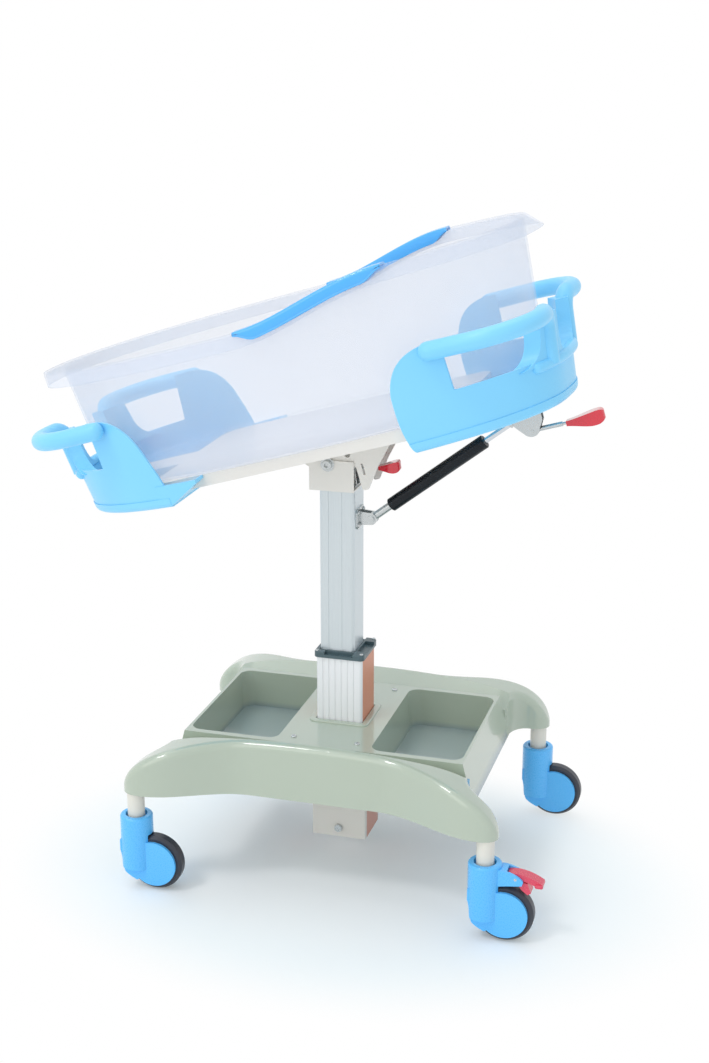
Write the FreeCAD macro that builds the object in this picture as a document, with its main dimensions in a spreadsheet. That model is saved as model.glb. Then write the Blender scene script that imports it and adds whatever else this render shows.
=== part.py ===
import FreeCAD, Part
import math
import os
import re

import Sketcher

V = FreeCAD.Vector

# Driving dimensions in millimetres and degrees. The column stands on the Z axis, the floor is z = 0,
# the head end of the tub points along +X.
SIZES = {
    # casters
    "wheelRadius": 50.0,
    "wheelWidth": 24.0,
    "tyreDepth": 9.0,
    "casterTrail": 35.0,
    "barrelRadius": 28.5,
    "barrelTop": 136.0,
    "forkWidth": 36.0,
    "discRadius": 41.0,
    "kingpinRadius": 6.0,
    "axleRadius": 4.0,
    # base
    "stemSpanLong": 620.0,
    "stemSpanWide": 476.0,
    "legTubeRadius": 15.0,
    "legTubeHeight": 214.0,
    "waistHalf": 184.0,
    "tubeWaist": 172.0,
    "coverWall": 3.5,
    "coverBottom": 179.0,
    "deckTop": 264.0,
    "archTop": 281.0,
    "trayInner": 84.0,
    "trayOuter": 245.0,
    "trayHalfWide": 141.0,
    "trayFloor": 197.0,
    "crossTubeWide": 30.0,
    # column
    "lowerHalf": 42.0,
    "lowerWall": 2.5,
    "lowerBottom": 43.5,
    "lowerTop": 384.0,
    "collarHalf": 45.5,
    "collarDeep": 11.0,
    "upperX": -6.5,
    "upperHalfLong": 31.5,
    "upperHalfWide": 32.0,
    "upperWall": 3.0,
    "upperBottom": 270.0,
    "upperTop": 688.0,
    "slideGap": 0.35,
    "liftTravel": 200.0,
    "liftRadius": 14.0,
    "liftRodRadius": 5.0,
    "footHalf": 50.0,
    "footBottom": 40.0,
    "sheet": 3.0,
    # column head and tilt
    "pivotX": -20.0,
    "pivotZ": 735.0,
    "tiltAngle": 16.5,
    "pivotBolt": 6.0,
    "headLeft": -53.0,
    "headRight": 26.0,
    "headTop": 742.0,
    "cheekHalf": 33.0,
    "fitGap": 0.3,
    # bed platform, in the tilted frame whose origin is the pivot axis
    "platformTop": 58.7,
    "platformDeep": 20.0,
    "platformHalfWide": 200.0,
    "platformHalfLong": 262.0,
    "tongueHalfWide": 46.0,
    "tongueEnd": 392.0,
    # tub
    "tubBottom": 59.0,
    "tubHalfLong": 394.0,
    "tubHalfWide": 222.0,
    "tubDraft": 0.095,
    "tubWall": 3.5,
    "footRim": 214.0,
    "headRim": 257.0,
    "rimHalfLong": 458.0,
    "rimHalfWide": 260.0,
    "lipDeep": 24.0,
    "stepStart": 12.0,
    "stepEnd": 228.0,
    # bumpers
    "bumperHalfLong": 434.0,
    "bumperHalfWide": 238.0,
    "bumperDraft": 0.13,
    "bumperWall": 5.0,
    "bumperBottom": 19.0,
    "bandTop": 101.0,
    "panelTop": 184.0,
    "panelStart": 204.0,
    "windowStart": 296.0,
    "gripRadius": 15.0,
    "gripReach": 449.0,
    "gripSide": 234.0,
    "gripPost": 84.0,
    "gripHeight": 172.0,
    # tilt gas spring
    "springLowX": 48.5,
    "springLowZ": 634.5,
    "springHighU": 348.0,
    "springHighV": 5.0,
    "springRadius": 12.0,
    "springRod": 5.0,
    "springPin": 4.0,
    "eyeHalf": 6.7,
    # levers
    "leverPivotU": 352.0,
    "leverPivotV": -26.0,
    "leverRod": 4.0,
    "heightLeverX": 12.0,
    "heightLeverZ": 719.0,
}

doc = FreeCAD.newDocument("bassinet")
params = doc.addObject("Spreadsheet::Sheet", "params")
for row, (alias, size) in enumerate(SIZES.items(), start=1):
    params.set("A%d" % row, alias)
    params.set("B%d" % row, "%g" % size)
    params.setAlias("B%d" % row, alias)
doc.recompute()

subparts = []


def bound(formula):
    """Write a formula of size names as an expression on the sheet."""
    def swap(match):
        word = match.group(0)
        return "params." + word if word in SIZES else word
    return re.sub(r"[A-Za-z]\w*", swap, str(formula))


def size(formula):
    """Value of a formula of size names."""
    return float(params.evalExpression(bound(formula)))


# ---------------------------------------------------------------- frames

TILTED = ("pivotX", "pivotZ", "-tiltAngle")


def place(item, frame):
    """Put an object in a frame turned about Y and moved in the XZ plane."""
    if frame is None:
        return
    atX, atZ, turn = frame[:3]
    atY = frame[3] if len(frame) > 3 else "0"
    item.Placement = FreeCAD.Placement(V(size(atX), size(atY), size(atZ)),
                                       FreeCAD.Rotation(V(0, 1, 0), size(turn)))
    for axis, formula in zip("xyz", (atX, atY, atZ)):
        item.setExpression("Placement.Base." + axis, bound(formula))
    if size(turn):
        item.setExpression("Placement.Rotation.Angle", bound(turn))


# ---------------------------------------------------------------- sketches and features

def newBody(name, frame=None):
    body = doc.addObject("PartDesign::Body", name)
    body.Label = name
    place(body, frame)
    subparts.append(body)
    return body


def newSketch(body, plane, name, lift="0"):
    sketch = body.newObject("Sketcher::SketchObject", name)
    support = [item for item in body.Origin.OriginFeatures if item.Role == plane][0]
    sketch.AttachmentSupport = [(support, "")]
    sketch.MapMode = "FlatFace"
    sketch.setExpression("AttachmentOffset.Base.z", bound(lift))
    return sketch


def bindPoint(sketch, index, where, formulas):
    """Hold a sketch point at two bound distances from the origin."""
    for kind, formula in zip(("DistanceX", "DistanceY"), formulas):
        row = sketch.addConstraint(Sketcher.Constraint(kind, -1, 1, index, where, size(formula)))
        sketch.setExpression("Constraints[%d]" % row, bound(formula))


def polygon(sketch, corners):
    """Closed outline through bound corners."""
    first = sketch.GeometryCount
    points = [V(size(x), size(y), 0) for x, y in corners]
    count = len(points)
    for k in range(count):
        sketch.addGeometry(Part.LineSegment(points[k], points[(k + 1) % count]), False)
    for k in range(count):
        sketch.addConstraint(Sketcher.Constraint("Coincident", first + k, 2, first + (k + 1) % count, 1))
    for k in range(count):
        bindPoint(sketch, first + k, 1, corners[k])


def rectangle(sketch, left, low, right, high):
    polygon(sketch, [(left, low), (right, low), (right, high), (left, high)])


def circle(sketch, x, y, radius):
    index = sketch.addGeometry(Part.Circle(V(size(x), size(y), 0), V(0, 0, 1), size(radius)), False)
    row = sketch.addConstraint(Sketcher.Constraint("Radius", index, size(radius)))
    sketch.setExpression("Constraints[%d]" % row, bound(radius))
    bindPoint(sketch, index, 3, (x, y))


def feature(body, kind, name, sketch, **formulas):
    """Add a sketch-based feature; text values are bound, others are set."""
    item = body.newObject("PartDesign::" + kind, name)
    item.Profile = sketch
    for key, value in formulas.items():
        if isinstance(value, str) and key in ("Length", "Length2", "Angle"):
            item.setExpression(key, bound(value))
        else:
            setattr(item, key, value)
    sketch.Visibility = False
    return item


def pad(body, sketch, length, **more):
    return feature(body, "Pad", sketch.Name + "Pad", sketch, Length=length, **more)


def pocket(body, sketch, length, **more):
    return feature(body, "Pocket", sketch.Name + "Pocket", sketch, Length=length, **more)


def revolve(body, sketch, axis="V_Axis"):
    return feature(body, "Revolution", sketch.Name + "Turn", sketch,
                   ReferenceAxis=(sketch, [axis]), Angle="360")


def edgesWhere(shape, test):
    return ["Edge%d" % k for k, edge in enumerate(shape.Edges, start=1) if test(edge)]


def dress(body, kind, amount, test):
    """Fillet or chamfer the edges of the body's tip that pass a test."""
    doc.recompute()
    tip = body.Tip
    item = body.newObject("PartDesign::" + kind, tip.Name + kind)
    item.Base = (tip, edgesWhere(tip.Shape, test))
    item.setExpression("Radius" if kind == "Fillet" else "Size", bound(amount))
    return item


def isAlong(edge, axis):
    """True for a straight edge parallel to an axis."""
    if not isinstance(edge.Curve, Part.Line):
        return False
    return abs(abs(edge.Curve.Direction.dot(axis)) - 1) < 1e-6


def keepShape(name, shape, frame=None):
    """Sub-part whose form is worked out with Part's own functions."""
    item = doc.addObject("Part::Feature", name)
    item.Label = name
    item.Shape = shape
    place(item, frame)
    subparts.append(item)
    return item


# ---------------------------------------------------------------- curves and solids

def ovalPoint(halfLong, halfWide, power, turn):
    """Point of a superellipse at a parameter angle in radians."""
    c = math.cos(turn)
    s = math.sin(turn)
    x = halfLong * math.copysign(abs(c) ** (2 / power), c)
    y = halfWide * math.copysign(abs(s) ** (2 / power), s)
    return x, y


def ovalWire(halfLong, halfWide, power, z, count=28):
    """Closed smooth oval; one point stands at each end and at each side."""
    points = []
    for k in range(count):
        x, y = ovalPoint(halfLong, halfWide, power, 2 * math.pi * k / count)
        points.append(V(x, y, z))
    curve = Part.BSplineCurve()
    curve.interpolate(Points=points, PeriodicFlag=True)
    return Part.Wire([curve.toShape()])


def ovalPrism(halfLong, halfWide, power, low, high, draft=0.0):
    """Drafted oval solid; the given half sizes are those at the low end."""
    grow = draft * (high - low)
    wires = [ovalWire(halfLong, halfWide, power, low),
             ovalWire(halfLong + grow, halfWide + grow, power, high)]
    return Part.makeLoft(wires, True, True)


def wireOf(steps):
    """Open or closed wire from points and curve steps.

    A step is a point, or a list of further Bezier poles that ends in a point.
    """
    edges = []
    here = steps[0]
    for step in steps[1:]:
        if isinstance(step, list):
            curve = Part.BezierCurve()
            curve.setPoles([here] + step)
            edges.append(curve.toShape())
            here = step[-1]
        else:
            edges.append(Part.makeLine(here, step))
            here = step
    return Part.Wire(edges)


def slabXZ(steps, low, high, rise=0.0):
    """Solid from an XZ outline, between two Y planes. Steps are (x, z) pairs or lists of them.

    The outline climbs by the rise on its way from the low plane to the high one.
    """
    lifted = []
    for step in steps:
        if isinstance(step, list):
            lifted.append([V(x, low, z) for x, z in step])
        else:
            lifted.append(V(step[0], low, step[1]))
    return Part.Face(wireOf(lifted)).extrude(V(0, high - low, rise))


def slabXY(steps, low, high):
    """Solid from an XY outline, between two Z planes."""
    lifted = []
    for step in steps:
        if isinstance(step, list):
            lifted.append([V(x, y, low) for x, y in step])
        else:
            lifted.append(V(step[0], step[1], low))
    return Part.Face(wireOf(lifted)).extrude(V(0, 0, high - low))


def boxBetween(low, high):
    span = V(*high) - V(*low)
    return Part.makeBox(span.x, span.y, span.z, V(*low))


def roundedPath(points, radii):
    """Wire through points whose inner corners are rounded by the given radii."""
    edges = []
    here = points[0]
    for before, corner, after, radius in zip(points, points[1:], points[2:], radii):
        inward = (before - corner).normalize()
        outward = (after - corner).normalize()
        half = inward.getAngle(outward) / 2
        reach = radius / math.tan(half)
        start = corner + inward * reach
        stop = corner + outward * reach
        centre = corner + (inward + outward).normalize() * (radius / math.sin(half))
        middle = centre + (corner - centre).normalize() * radius
        edges.append(Part.makeLine(here, start))
        edges.append(Part.Arc(start, middle, stop).toShape())
        here = stop
    edges.append(Part.makeLine(here, points[-1]))
    return Part.Wire(edges)


def rodAlong(path, radius):
    """Round bar along a smooth wire."""
    start = path.Edges[0].valueAt(path.Edges[0].FirstParameter)
    heading = path.Edges[0].tangentAt(path.Edges[0].FirstParameter)
    section = Part.Wire([Part.makeCircle(radius, start, heading)])
    return path.makePipeShell([section], True, False)


def mirrored(shape, normal):
    return shape.mirror(V(0, 0, 0), normal)


def cylinderAt(radius, low, high, x=0.0, y=0.0):
    return Part.makeCylinder(radius, high - low, V(x, y, low))


def pinAlongY(radius, low, high, x, z):
    return Part.makeCylinder(radius, high - low, V(x, low, z), V(0, 1, 0))


def hexPrism(across, low, high, centre, axis):
    """Hexagon bar along an axis, measured across its flats."""
    reach = across / math.sqrt(3)
    side = V(0, 0, 1) if abs(axis.z) < 0.5 else V(1, 0, 0)
    other = axis.cross(side)
    points = []
    for k in range(7):
        turn = math.radians(60 * k)
        points.append(centre + axis * low + side * (reach * math.cos(turn)) + other * (reach * math.sin(turn)))
    return Part.Face(Part.makePolygon(points)).extrude(axis * (high - low))


def panScrew(radius, length, headRadius, headHeight):
    """Screw with a domed head; its seat is z = 0 and its shank points down."""
    shank = Part.makeCylinder(radius, length, V(0, 0, -length))
    dome = Part.makeCylinder(headRadius, headHeight)
    dome = dome.makeFillet(headHeight * 0.6, [edge for edge in dome.Edges
                                             if edge.BoundBox.ZMin > headHeight * 0.9])
    slot = Part.makeBox(headRadius * 1.1, 1.0, headHeight, V(-headRadius * 0.55, -0.5, headHeight * 0.45))
    cross = slot.copy()
    cross.rotate(V(0, 0, 0), V(0, 0, 1), 90)
    return shank.fuse(dome).cut(slot).cut(cross).removeSplitter()


def atEach(shape, places):
    """Separate copies of one shape, one per placement, as one group."""
    copies = []
    for placement in places:
        copy = shape.copy()
        copy.Placement = placement.multiply(shape.Placement)
        copies.append(copy)
    return Part.makeCompound(copies)


UP = FreeCAD.Rotation()


# ---------------------------------------------------------------- base cover

def archSteps(inset, low):
    """XZ outline of a leg cover: a long flat arch with steep rounded ends."""
    top = size("archTop") - inset
    end = size("stemSpanLong / 2 + legTubeRadius + 6") - inset
    return [(-end, low), (-end, top - 92),
            [(-end + 12, top - 40), (-262, top - 18), (-200, top - 10)],
            [(-80, top + 3.5), (80, top + 3.5), (200, top - 10)],
            [(262, top - 18), (end - 12, top - 40), (end, top - 92)],
            (end, low), (-end, low)]


def legPlanSteps(inset):
    """XY outline of the leg cover on the +Y side: narrow waist, flared ends."""
    end = size("stemSpanLong / 2 + legTubeRadius + 6") - inset
    waist = size("waistHalf + 16") - inset
    outer = size("stemSpanWide / 2 + 20") - inset
    tip = size("stemSpanWide / 2 - 26") + inset
    inner = size("trayHalfWide + 9") + inset
    rim = size("trayOuter + 17") - inset
    right = [(110, waist), [(180, waist), (232, outer), (298, outer)],
             [(end + 11, outer), (end + 11, tip), (298, tip)],
             [(276, tip), (rim, tip - 22), (rim, inner)]]
    left = [(-rim, inner), [(-rim, tip - 22), (-276, tip), (-298, tip)],
            [(-end - 11, tip), (-end - 11, outer), (-298, outer)],
            [(-232, outer), (-180, waist), (-110, waist)], (110, waist)]
    return right + left


def legBlock(inset, low, rounding):
    """Solid arm of the cover on the +Y side. Its top falls from a crest near the outside towards the deck."""
    arm = slabXY(legPlanSteps(inset), low, size("archTop + 8"))
    arm = arm.common(slabXZ(archSteps(inset, low), 100, 300))
    brow = [edge for edge in arm.Edges
            if edge.BoundBox.ZMin > size("coverBottom + 4") and edge.BoundBox.YLength < edge.BoundBox.XLength * 3
            and edge.BoundBox.XLength > 20]
    arm = arm.makeFillet(rounding, brow)
    slope = 0.52
    crest = size("waistHalf + 3")
    roof = slabXZ(archSteps(inset, low - 90), 100, 300, 200 * slope)
    roof.translate(V(0, 0, slope * (100 - crest)))
    return arm.common(roof)


def deckBlock(inset, low):
    """Solid between the arms, with skirts that slope out to the two ends."""
    top = size("deckTop") - inset
    rim = size("trayOuter + 5") - inset
    skirt = size("trayOuter + 25") - inset
    half = size("trayHalfWide + 12") - inset
    return slabXZ([(-skirt, low), (-rim, top), (rim, top), (skirt, low), (-skirt, low)], -half, half)


def roundedRectangle(left, right, low, high, radius, z):
    """Closed wire in an XY plane."""
    corners = [(right - radius, high - radius, 0), (left + radius, high - radius, 90),
               (left + radius, low + radius, 180), (right - radius, low + radius, 270)]
    arcs = []
    for x, y, start in corners:
        arcs.append(Part.makeCircle(radius, V(x, y, z), V(0, 0, 1), start, start + 90))
    edges = []
    for arc, following in zip(arcs, arcs[1:] + arcs[:1]):
        edges.append(arc)
        edges.append(Part.makeLine(arc.valueAt(arc.LastParameter), following.valueAt(following.FirstParameter)))
    return Part.Wire(edges)


def trayBlock(grow, low, high):
    """Tapered tray form on the +X side, between two heights."""
    wires = []
    for z in (low, high):
        taper = 8 * (size("deckTop") - z) / size("deckTop - trayFloor") - grow
        wires.append(roundedRectangle(size("trayInner") + taper, size("trayOuter") - taper,
                                      taper - size("trayHalfWide"), size("trayHalfWide") - taper,
                                      20 + grow, z))
    return Part.makeLoft(wires, True, True)


def bothSides(shape, normal):
    return [shape, mirrored(shape, normal)]


def screwSpots():
    x = size("lowerHalf + crossTubeWide / 2 + 0.3")
    return [(sx * x, sy * 125.0) for sx in (-1, 1) for sy in (-1, 1)]


def buildBaseCover():
    wall = size("coverWall")
    low = size("coverBottom")
    across = V(0, 1, 0)
    outside = deckBlock(0, low + 11).multiFuse(bothSides(legBlock(0, low, 13), across))
    inside = deckBlock(wall, low - 1).multiFuse(bothSides(legBlock(wall, low - 1, 13 - wall), across))
    passage = size("trayHalfWide + 18")
    inside = inside.fuse(boxBetween((-150, -passage, low - 1), (150, passage, size("deckTop - 14"))))
    tray = trayBlock(wall, size("trayFloor") - wall, size("deckTop - coverWall / 2"))
    hollow = trayBlock(0, size("trayFloor"), size("deckTop + 2"))
    cover = outside.cut(inside)
    bosses = [cylinderAt(7, size("legTubeHeight + legTubeRadius + 0.2"), size("deckTop - coverWall / 2"), x, y)
              for x, y in screwSpots()]
    plinth = size("lowerHalf + 12")
    ring = Part.Face(roundedRectangle(-plinth, plinth, -plinth, plinth, 12, size("deckTop - 1")))
    ring = ring.extrude(V(0, 0, 4))
    ring = ring.makeFillet(2, [edge for edge in ring.Edges if edge.BoundBox.ZMin > size("deckTop + 2")])
    cover = cover.multiFuse(bothSides(tray, V(1, 0, 0)) + bosses + [ring])
    for void in bothSides(hollow, V(1, 0, 0)):
        cover = cover.cut(void)
    throat = size("lowerHalf + 1.2")
    cover = cover.cut(boxBetween((-throat, -throat, 150), (throat, throat, 300)))
    for x, y in screwSpots():
        cover = cover.cut(cylinderAt(2.6, 200, 300, x, y))
    return cover.removeSplitter()


def buildBaseFrame():
    """Two bent leg tubes joined by two cross tubes beside the column."""
    long = size("stemSpanLong / 2")
    wide = size("stemSpanWide / 2")
    waist = size("tubeWaist")
    height = size("legTubeHeight")
    foot = size("barrelTop - 7.5")
    points = [V(long, wide, foot), V(long, wide, height), V(120, waist, height),
              V(-120, waist, height), V(-long, wide, height), V(-long, wide, foot)]
    leg = rodAlong(roundedPath(points, [42, 200, 200, 42]), size("legTubeRadius"))
    near = size("lowerHalf + 0.3")
    far = near + size("crossTubeWide")
    tubes = []
    for sign in (-1, 1):
        ends = sorted((sign * near, sign * far))
        tubes.append(boxBetween((ends[0], -waist, height - 15), (ends[1], waist, height + 15)))
    return leg.multiFuse([mirrored(leg, V(0, 1, 0))] + tubes)


# ---------------------------------------------------------------- casters

def stemCorners():
    long = "stemSpanLong / 2"
    wide = "stemSpanWide / 2"
    return {"foot_left": ("-" + long, wide), "foot_right": ("-" + long, "-" + wide),
            "head_left": (long, wide), "head_right": (long, "-" + wide)}


BRAKED = ("head_right", "foot_left")


def forkBlock(braked):
    """Caster fork about its swivel axis: barrel, two cheeks, front shield and hollow for the wheel."""
    trail = size("casterTrail")
    hub = size("wheelRadius")
    half = size("forkWidth / 2")
    barrel = size("barrelRadius")
    top = size("barrelTop")
    body = cylinderAt(barrel, hub - 12, top)
    discs = pinAlongY(size("discRadius"), -half, half, trail, hub)
    web = slabXZ([(-barrel + 3, hub - 6), (-barrel + 3, hub + 40), (trail - 6, hub + 40),
                  (trail - 6, hub - 20), (4, hub - 34), [(-10, hub - 28), (-22, hub - 20), (-barrel + 3, hub - 6)]],
                 -half, half)
    heel = slabXZ([(-45, -5), (-45, 76), (-29, 76), [(-25, 72), (-22.5, 62), (-22, 50)],
                   [(-21.5, 38), (-16, 20), (-2, 6)], (10, -5), (-45, -5)], -40, 40)
    fork = body.multiFuse([discs, web]).cut(heel)
    if braked:
        arm = slabXZ([(10, top - 38), (10, top - 6), (barrel + 4, top - 6),
                      [(barrel + 20, top - 8), (barrel + 34, top - 14), (barrel + 38, top - 22)],
                      (barrel + 36, top - 29), (barrel + 8, top - 33), (10, top - 38)], -half + 3, half - 3)
        fork = fork.fuse(arm)
    wheelRoom = pinAlongY(hub + 2.6, -size("wheelWidth / 2") - 0.9, size("wheelWidth / 2") + 0.9, trail, hub)
    fork = fork.cut(wheelRoom)
    brow = [edge for edge in fork.Edges if edge.BoundBox.ZMin > top - 0.01
            and edge.BoundBox.XLength > 2 * barrel - 1]
    fork = fork.makeFillet(4, brow)
    fork = fork.cut(cylinderAt(size("legTubeRadius + 4"), top - 9, top + 1))
    fork = fork.cut(cylinderAt(size("kingpinRadius + 0.08"), hub + 40, top))
    fork = fork.cut(pinAlongY(size("axleRadius"), -half + 2, half - 2, trail, hub))
    if braked:
        slot = boxBetween((barrel + 10, -half + 7, top - 60), (barrel + 60, half - 7, top + 5))
        fork = fork.cut(slot)
        fork = fork.cut(pinAlongY(2.5, -half, half, barrel + 25, top - 19))
    return fork


def buildPedal():
    """Brake pedal, hinged in the fork's arm, with a pawl that comes down on the tyre."""
    top = size("barrelTop")
    at = size("barrelRadius + 25")
    half = size("forkWidth / 2 - 7.4")
    hub = pinAlongY(6.5, -half, half, at, top - 19)
    plate = slabXZ([(at - 14, top - 12), [(at + 6, top - 6), (at + 30, top - 15), (at + 44, top - 24)],
                    [(at + 48, top - 30), (at + 44, top - 34), (at + 38, top - 31)],
                    [(at + 24, top - 24), (at + 8, top - 19), (at - 10, top - 19)], (at - 14, top - 12)],
                   -half, half)
    toe = boxBetween((at + 32, -half - 4, top - 31), (at + 45, half + 4, top - 24))
    pawl = slabXZ([(at - 2, top - 20), (at + 20, top - 26), (at + 26, top - 42), (at + 20.5, top - 46),
                   (at + 10, top - 38), (at - 2, top - 20)], -half, half)
    pedal = hub.multiFuse([plate, pawl, toe.common(toe.makeFillet(3, toe.Edges))])
    return pedal.cut(pinAlongY(2.58, -half - 1, half + 1, at, top - 19))


def buildWheels():
    for corner, (x, y) in stemCorners().items():
        frame = (x + " + casterTrail", "wheelRadius", "0", y)
        tyre = newBody("caster_%s_tyre" % corner, frame)
        sketch = newSketch(tyre, "XY_Plane", "tyreSection_" + corner)
        half = "wheelWidth / 2"
        polygon(sketch, [("wheelRadius - tyreDepth", "-" + half), ("wheelRadius - 4", "-" + half),
                         ("wheelRadius", "-wheelWidth / 2 + 5"), ("wheelRadius", "wheelWidth / 2 - 5"),
                         ("wheelRadius - 4", half), ("wheelRadius - tyreDepth", half)])
        revolve(tyre, sketch)
        hub = newBody("caster_%s_hub" % corner, frame)
        sketch = newSketch(hub, "XY_Plane", "hubSection_" + corner)
        rim = "wheelRadius - tyreDepth"
        polygon(sketch, [("axleRadius + 0.06", "-" + half), ("axleRadius + 5", "-" + half),
                         ("axleRadius + 5", "-3"), (rim + " - 4", "-3"), (rim + " - 4", "-wheelWidth / 2 + 1"),
                         (rim, "-wheelWidth / 2 + 1"), (rim, "wheelWidth / 2 - 1"),
                         (rim + " - 4", "wheelWidth / 2 - 1"), (rim + " - 4", "3"),
                         ("axleRadius + 5", "3"), ("axleRadius + 5", half), ("axleRadius + 0.06", half)])
        revolve(hub, sketch)
        axle = newBody("caster_%s_axle" % corner, frame)
        sketch = newSketch(axle, "XZ_Plane", "axleSection_" + corner, "-forkWidth / 2 + 2")
        circle(sketch, "0", "0", "axleRadius")
        pad(axle, sketch, "forkWidth - 4")


def buildCasters():
    for corner, (x, y) in stemCorners().items():
        frame = (x, "0", "0", y)
        braked = corner in BRAKED
        keepShape("caster_%s_fork" % corner, forkBlock(braked), frame)
        if braked:
            keepShape("brake_pedal_%s" % corner, buildPedal(), frame)
            half = size("forkWidth / 2 - 3.2")
            pin = pinAlongY(2.5, -half, half, size("barrelRadius + 25"), size("barrelTop - 19"))
            keepShape("brake_pin_%s" % corner, pin, frame)
    top = size("barrelTop")
    pin = cylinderAt(size("kingpinRadius"), top - 44, top - 7.5)
    stop = cylinderAt(size("legTubeRadius + 2.5"), top - 8.6, top - 7.8)
    spots = [FreeCAD.Placement(V(size(x), size(y), 0), UP) for x, y in stemCorners().values()]
    keepShape("caster_kingpins", atEach(pin.fuse(stop), spots))


# ---------------------------------------------------------------- column

def buildLowerColumn():
    body = newBody("lower_column")
    outer = newSketch(body, "XY_Plane", "lowerOuter", "lowerBottom")
    rectangle(outer, "-lowerHalf", "-lowerHalf", "lowerHalf", "lowerHalf")
    pad(body, outer, "lowerTop - lowerBottom")
    dress(body, "Fillet", "6", lambda edge: isAlong(edge, V(0, 0, 1)))
    bore = newSketch(body, "XY_Plane", "lowerBore", "lowerTop")
    inner = "lowerHalf - lowerWall"
    rectangle(bore, "-(%s)" % inner, "-(%s)" % inner, inner, inner)
    pocket(body, bore, "lowerTop - lowerBottom")
    flute = newSketch(body, "XY_Plane", "lowerFlute", "lowerTop")
    left = "-lowerHalf * 0.72"
    rectangle(flute, left, "-lowerHalf - 1", left + " + 4", "-lowerHalf + 1.3")
    rectangle(flute, left, "lowerHalf - 1.3", left + " + 4", "lowerHalf + 1")
    cut = pocket(body, flute, "lowerTop - lowerBottom")
    row = body.newObject("PartDesign::LinearPattern", "fluteRow")
    row.Originals = [cut]
    row.Direction = (flute, ["H_Axis"])
    row.setExpression("Length", bound("lowerHalf * 1.34"))
    row.Occurrences = 6
    body.Tip = row


def buildUpperColumn():
    body = newBody("upper_column")
    outer = newSketch(body, "XY_Plane", "upperOuter", "upperBottom")
    rectangle(outer, "upperX - upperHalfLong", "-upperHalfWide", "upperX + upperHalfLong", "upperHalfWide")
    pad(body, outer, "upperTop - upperBottom")
    dress(body, "Fillet", "7", lambda edge: isAlong(edge, V(0, 0, 1)))
    bore = newSketch(body, "XY_Plane", "upperBore", "upperTop")
    x = "upperHalfLong - upperWall"
    y = "upperHalfWide - upperWall"
    rectangle(bore, "upperX - (%s)" % x, "-(%s)" % y, "upperX + " + x, y)
    pocket(body, bore, "upperTop - upperBottom")
    grooves = newSketch(body, "XY_Plane", "upperGrooves", "upperTop")
    for side in ("-1", "1"):
        for at in ("-15", "9"):
            low = "-upperHalfWide - 1" if side == "-1" else "upperHalfWide - 0.8"
            high = "-upperHalfWide + 0.8" if side == "-1" else "upperHalfWide + 1"
            rectangle(grooves, "upperX + " + at, low, "upperX + %s + 6" % at, high)
    pocket(body, grooves, "upperTop - upperBottom")
    threads = newSketch(body, "YZ_Plane", "clevisThreads", "upperX + upperHalfLong + 1")
    for y in ("-15", "15"):
        for lift in ("- 11", "+ 11"):
            circle(threads, y, "springLowZ " + lift, "2.05")
    pocket(body, threads, "upperWall + 3")


def buildCollar():
    body = newBody("column_collar")
    ring = newSketch(body, "XY_Plane", "collarRing", "lowerTop + 0.1")
    rectangle(ring, "-collarHalf", "-collarHalf", "collarHalf", "collarHalf")
    pad(body, ring, "collarDeep")
    dress(body, "Fillet", "8", lambda edge: isAlong(edge, V(0, 0, 1)))
    dress(body, "Fillet", "2", lambda edge: edge.BoundBox.ZMin > size("lowerTop + collarDeep"))
    hole = newSketch(body, "XY_Plane", "collarHole", "lowerTop + collarDeep + 1")
    x = "upperHalfLong + slideGap"
    y = "upperHalfWide + slideGap"
    rectangle(hole, "upperX - (%s)" % x, "-(%s)" % y, "upperX + " + x, y)
    pocket(body, hole, "collarDeep + 2")
    notch = newSketch(body, "XY_Plane", "collarNotches", "lowerTop + collarDeep + 1")
    rim = "upperHalfWide + 3.5"
    rectangle(notch, "-26", "-collarHalf - 1", "26", "-(%s)" % rim)
    rectangle(notch, "-26", rim, "26", "collarHalf + 1")
    rectangle(notch, "upperX + upperHalfLong + 4", "-26", "collarHalf + 1", "26")
    pocket(body, notch, "collarDeep * 0.5 + 1")
    threads = newSketch(body, "XY_Plane", "collarThreads", "lowerTop + collarDeep + 0.1")
    for x in ("collarHalf - 5", "-collarHalf + 5"):
        for y in ("collarHalf - 5", "-collarHalf + 5"):
            circle(threads, x, y, "1.25")
    pocket(body, threads, "9")
    spots = [FreeCAD.Placement(V(sx * size("collarHalf - 5"), sy * size("collarHalf - 5"),
                                 size("lowerTop + collarDeep + 0.1")), UP)
             for sx in (-1, 1) for sy in (-1, 1)]
    keepShape("collar_screws", atEach(panScrew(1.2, 8, 3.2, 1.6), spots))


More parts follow.
